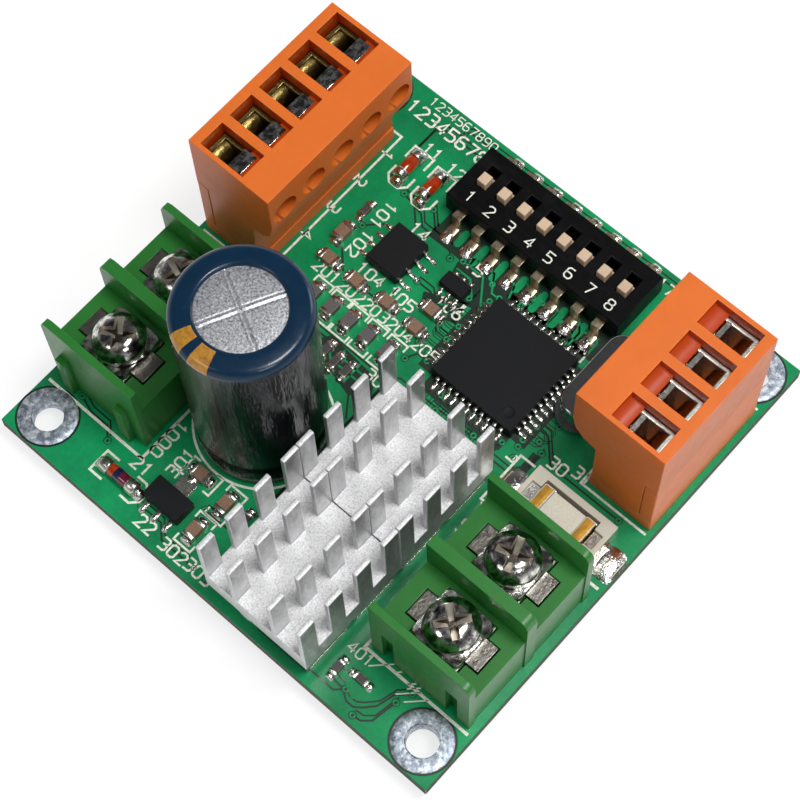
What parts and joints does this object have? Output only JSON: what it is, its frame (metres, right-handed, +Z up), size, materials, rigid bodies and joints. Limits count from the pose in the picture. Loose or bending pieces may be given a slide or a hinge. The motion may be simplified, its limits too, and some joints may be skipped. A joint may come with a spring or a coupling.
{
  "type": "motor driver module",
  "caption": "Square motor driver board with pluggable and barrier screw terminals, pin-fin heat sinks, a DIP switch, a fuse and a bulk capacitor.",
  "frame": {"origin": "centre of the four mounting holes, on the underside of the circuit board", "axes": "+Z up out of the component side, +Y towards the power terminal, +X towards the DIP switch"},
  "size_m": [0.0546, 0.0546, 0.0292],
  "materials": {
    "solder_mask": "glossy green solder mask over glass-fibre board",
    "plug_orange": "moulded orange nylon, slightly translucent",
    "terminal_green": "moulded green plastic",
    "tinned_metal": "tin plated",
    "clamp_metal": "nickel-plated brass",
    "screw_steel": "bright nickel-plated steel",
    "switch_black": "moulded black plastic",
    "slider_tan": "moulded tan plastic",
    "sleeve_film": "shrunk printed film",
    "can_aluminium": "bright drawn aluminium",
    "bung_rubber": "black rubber with two tinned leads",
    "sink_aluminium": "sawn and tumbled aluminium",
    "thermal_pad": "soft grey pad",
    "package_black": "black moulding compound",
    "crystal_steel": "drawn steel can",
    "holder_cream": "cream plastic with silver-plated clips",
    "diode_glass": "tinted glass with metal ends",
    "chip_ceramic": "fired ceramic with tinned ends",
    "fuse_ceramic": "white ceramic with gold-plated caps"
  },
  "bodies": {
    "board": {"circuit_board": "solder_mask", "plug_headers": "plug_orange", "header_pins": "tinned_metal", "power_terminal_housing": "terminal_green", "motor_terminal_housing": "terminal_green", "terminal_contacts": "tinned_metal", "dip_switch_housing": "switch_black", "dip_switch_contacts": "tinned_metal", "capacitor_sleeve": "sleeve_film", "capacitor_can": "can_aluminium", "capacitor_bung": "bung_rubber", "heat_sinks": "sink_aluminium", "thermal_pads": "thermal_pad", "power_transistors": "package_black", "microcontroller": "package_black", "small_ics": "package_black", "ic_leads": "tinned_metal", "crystal": "crystal_steel", "fuse_holder": "holder_cream", "glass_diodes": "diode_glass", "chip_components": "chip_ceramic"},
    "fuse": {"fuse": "fuse_ceramic"},
    "signal_plug": {"signal_plug_housing": "plug_orange", "signal_plug_contacts": "tinned_metal"},
    "signal_clamp_cage_1": {"signal_clamp_cage_1": "clamp_metal"},
    "signal_clamp_screw_1": {"signal_clamp_screw_1": "screw_steel"},
    "signal_clamp_cage_2": {"signal_clamp_cage_2": "clamp_metal"},
    "signal_clamp_screw_2": {"signal_clamp_screw_2": "screw_steel"},
    "signal_clamp_cage_3": {"signal_clamp_cage_3": "clamp_metal"},
    "signal_clamp_screw_3": {"signal_clamp_screw_3": "screw_steel"},
    "signal_clamp_cage_4": {"signal_clamp_cage_4": "clamp_metal"},
    "signal_clamp_screw_4": {"signal_clamp_screw_4": "screw_steel"},
    "signal_clamp_cage_5": {"signal_clamp_cage_5": "clamp_metal"},
    "signal_clamp_screw_5": {"signal_clamp_screw_5": "screw_steel"},
    "sensor_plug": {"sensor_plug_housing": "plug_orange", "sensor_plug_contacts": "tinned_metal"},
    "sensor_clamp_cage_1": {"sensor_clamp_cage_1": "clamp_metal"},
    "sensor_clamp_screw_1": {"sensor_clamp_screw_1": "screw_steel"},
    "sensor_clamp_cage_2": {"sensor_clamp_cage_2": "clamp_metal"},
    "sensor_clamp_screw_2": {"sensor_clamp_screw_2": "screw_steel"},
    "sensor_clamp_cage_3": {"sensor_clamp_cage_3": "clamp_metal"},
    "sensor_clamp_screw_3": {"sensor_clamp_screw_3": "screw_steel"},
    "sensor_clamp_cage_4": {"sensor_clamp_cage_4": "clamp_metal"},
    "sensor_clamp_screw_4": {"sensor_clamp_screw_4": "screw_steel"},
    "motor_washer_1": {"motor_washer_1": "screw_steel"},
    "motor_screw_1": {"motor_screw_1": "screw_steel"},
    "motor_washer_2": {"motor_washer_2": "screw_steel"},
    "motor_screw_2": {"motor_screw_2": "screw_steel"},
    "power_washer_1": {"power_washer_1": "screw_steel"},
    "power_screw_1": {"power_screw_1": "screw_steel"},
    "power_washer_2": {"power_washer_2": "screw_steel"},
    "power_screw_2": {"power_screw_2": "screw_steel"},
    "dip_slider_1": {"dip_slider_1": "slider_tan"},
    "dip_slider_2": {"dip_slider_2": "slider_tan"},
    "dip_slider_3": {"dip_slider_3": "slider_tan"},
    "dip_slider_4": {"dip_slider_4": "slider_tan"},
    "dip_slider_5": {"dip_slider_5": "slider_tan"},
    "dip_slider_6": {"dip_slider_6": "slider_tan"},
    "dip_slider_7": {"dip_slider_7": "slider_tan"},
    "dip_slider_8": {"dip_slider_8": "slider_tan"}
  },
  "joints": [
    {"name": "fuse_pull", "type": "slide", "parent": "board", "child": "fuse", "axis": [0, 0, 1], "range_m": [0, 0.006]},
    {"name": "signal_plug_pull", "type": "slide", "parent": "board", "child": "signal_plug", "axis": [0, 0, 1], "range_m": [0, 0.012]},
    {"name": "signal_cage_slide_1", "type": "slide", "parent": "signal_plug", "child": "signal_clamp_cage_1", "axis": [0, -1, 0], "range_m": [0, 0.001]},
    {"name": "signal_screw_turn_1", "type": "hinge", "parent": "signal_plug", "child": "signal_clamp_screw_1", "pos_m": [0.01867, 0.0177, 0.0152], "axis": [0, 1, 0], "range_deg": [0, 720]},
    {"name": "signal_cage_slide_2", "type": "slide", "parent": "signal_plug", "child": "signal_clamp_cage_2", "axis": [0, -1, 0], "range_m": [0, 0.001]},
    {"name": "signal_screw_turn_2", "type": "hinge", "parent": "signal_plug", "child": "signal_clamp_screw_2", "pos_m": [0.01471, 0.0177, 0.0152], "axis": [0, 1, 0], "range_deg": [0, 720]},
    {"name": "signal_cage_slide_3", "type": "slide", "parent": "signal_plug", "child": "signal_clamp_cage_3", "axis": [0, -1, 0], "range_m": [0, 0.001]},
    {"name": "signal_screw_turn_3", "type": "hinge", "parent": "signal_plug", "child": "signal_clamp_screw_3", "pos_m": [0.01075, 0.0177, 0.0152], "axis": [0, 1, 0], "range_deg": [0, 720]},
    {"name": "signal_cage_slide_4", "type": "slide", "parent": "signal_plug", "child": "signal_clamp_cage_4", "axis": [0, -1, 0], "range_m": [0, 0.001]},
    {"name": "signal_screw_turn_4", "type": "hinge", "parent": "signal_plug", "child": "signal_clamp_screw_4", "pos_m": [0.00679, 0.0177, 0.0152], "axis": [0, 1, 0], "range_deg": [0, 720]},
    {"name": "signal_cage_slide_5", "type": "slide", "parent": "signal_plug", "child": "signal_clamp_cage_5", "axis": [0, -1, 0], "range_m": [0, 0.001]},
    {"name": "signal_screw_turn_5", "type": "hinge", "parent": "signal_plug", "child": "signal_clamp_screw_5", "pos_m": [0.00283, 0.0177, 0.0152], "axis": [0, 1, 0], "range_deg": [0, 720]},
    {"name": "sensor_plug_pull", "type": "slide", "parent": "board", "child": "sensor_plug", "axis": [0, 0, 1], "range_m": [0, 0.012]},
    {"name": "sensor_cage_slide_1", "type": "slide", "parent": "sensor_plug", "child": "sensor_clamp_cage_1", "axis": [0, 1, 0], "range_m": [0, 0.001]},
    {"name": "sensor_screw_turn_1", "type": "hinge", "parent": "sensor_plug", "child": "sensor_clamp_screw_1", "pos_m": [0.00696, -0.0177, 0.0152], "axis": [0, -1, 0], "range_deg": [0, 720]},
    {"name": "sensor_cage_slide_2", "type": "slide", "parent": "sensor_plug", "child": "sensor_clamp_cage_2", "axis": [0, 1, 0], "range_m": [0, 0.001]},
    {"name": "sensor_screw_turn_2", "type": "hinge", "parent": "sensor_plug", "child": "sensor_clamp_screw_2", "pos_m": [0.01092, -0.0177, 0.0152], "axis": [0, -1, 0], "range_deg": [0, 720]},
    {"name": "sensor_cage_slide_3", "type": "slide", "parent": "sensor_plug", "child": "sensor_clamp_cage_3", "axis": [0, 1, 0], "range_m": [0, 0.001]},
    {"name": "sensor_screw_turn_3", "type": "hinge", "parent": "sensor_plug", "child": "sensor_clamp_screw_3", "pos_m": [0.01488, -0.0177, 0.0152], "axis": [0, -1, 0], "range_deg": [0, 720]},
    {"name": "sensor_cage_slide_4", "type": "slide", "parent": "sensor_plug", "child": "sensor_clamp_cage_4", "axis": [0, 1, 0], "range_m": [0, 0.001]},
    {"name": "sensor_screw_turn_4", "type": "hinge", "parent": "sensor_plug", "child": "sensor_clamp_screw_4", "pos_m": [0.01884, -0.0177, 0.0152], "axis": [0, -1, 0], "range_deg": [0, 720]},
    {"name": "motor_washer_lift_1", "type": "slide", "parent": "board", "child": "motor_washer_1", "axis": [0, 0, 1], "range_m": [0, 0.003]},
    {"name": "motor_screw_turn_1", "type": "hinge", "parent": "motor_washer_1", "child": "motor_screw_1", "pos_m": [-0.01622, -0.0208, 0.0102], "axis": [0, 0, 1], "range_deg": [0, 2160]},
    {"name": "motor_washer_lift_2", "type": "slide", "parent": "board", "child": "motor_washer_2", "axis": [0, 0, 1], "range_m": [0, 0.003]},
    {"name": "motor_screw_turn_2", "type": "hinge", "parent": "motor_washer_2", "child": "motor_screw_2", "pos_m": [-0.00797, -0.0208, 0.0102], "axis": [0, 0, 1], "range_deg": [0, 2160]},
    {"name": "power_washer_lift_1", "type": "slide", "parent": "board", "child": "power_washer_1", "axis": [0, 0, 1], "range_m": [0, 0.003]},
    {"name": "power_screw_turn_1", "type": "hinge", "parent": "power_washer_1", "child": "power_screw_1", "pos_m": [-0.00758, 0.0208, 0.0102], "axis": [0, 0, 1], "range_deg": [0, 2160]},
    {"name": "power_washer_lift_2", "type": "slide", "parent": "board", "child": "power_washer_2", "axis": [0, 0, 1], "range_m": [0, 0.003]},
    {"name": "power_screw_turn_2", "type": "hinge", "parent": "power_washer_2", "child": "power_screw_2", "pos_m": [-0.01582, 0.0208, 0.0102], "axis": [0, 0, 1], "range_deg": [0, 2160]},
    {"name": "dip_slider_slide_1", "type": "slide", "parent": "board", "child": "dip_slider_1", "axis": [1, 0, 0], "range_m": [0, 0.0012]},
    {"name": "dip_slider_slide_2", "type": "slide", "parent": "board", "child": "dip_slider_2", "axis": [1, 0, 0], "range_m": [0, 0.0012]},
    {"name": "dip_slider_slide_3", "type": "slide", "parent": "board", "child": "dip_slider_3", "axis": [1, 0, 0], "range_m": [0, 0.0012]},
    {"name": "dip_slider_slide_4", "type": "slide", "parent": "board", "child": "dip_slider_4", "axis": [1, 0, 0], "range_m": [0, 0.0012]},
    {"name": "dip_slider_slide_5", "type": "slide", "parent": "board", "child": "dip_slider_5", "axis": [1, 0, 0], "range_m": [0, 0.0012]},
    {"name": "dip_slider_slide_6", "type": "slide", "parent": "board", "child": "dip_slider_6", "axis": [1, 0, 0], "range_m": [0, 0.0012]},
    {"name": "dip_slider_slide_7", "type": "slide", "parent": "board", "child": "dip_slider_7", "axis": [1, 0, 0], "range_m": [0, 0.0012]},
    {"name": "dip_slider_slide_8", "type": "slide", "parent": "board", "child": "dip_slider_8", "axis": [1, 0, 0], "range_m": [0, 0.0012]}
  ],
  "couplings": [
    {"joint": "signal_screw_turn_1", "follows": "signal_cage_slide_1", "rad_per_m": 12566},
    {"joint": "signal_screw_turn_2", "follows": "signal_cage_slide_2", "rad_per_m": 12566},
    {"joint": "signal_screw_turn_3", "follows": "signal_cage_slide_3", "rad_per_m": 12566},
    {"joint": "signal_screw_turn_4", "follows": "signal_cage_slide_4", "rad_per_m": 12566},
    {"joint": "signal_screw_turn_5", "follows": "signal_cage_slide_5", "rad_per_m": 12566},
    {"joint": "sensor_screw_turn_1", "follows": "sensor_cage_slide_1", "rad_per_m": 12566},
    {"joint": "sensor_screw_turn_2", "follows": "sensor_cage_slide_2", "rad_per_m": 12566},
    {"joint": "sensor_screw_turn_3", "follows": "sensor_cage_slide_3", "rad_per_m": 12566},
    {"joint": "sensor_screw_turn_4", "follows": "sensor_cage_slide_4", "rad_per_m": 12566},
    {"joint": "motor_screw_turn_1", "follows": "motor_washer_lift_1", "rad_per_m": 12566},
    {"joint": "motor_screw_turn_2", "follows": "motor_washer_lift_2", "rad_per_m": 12566},
    {"joint": "power_screw_turn_1", "follows": "power_washer_lift_1", "rad_per_m": 12566},
    {"joint": "power_screw_turn_2", "follows": "power_washer_lift_2", "rad_per_m": 12566}
  ]
}
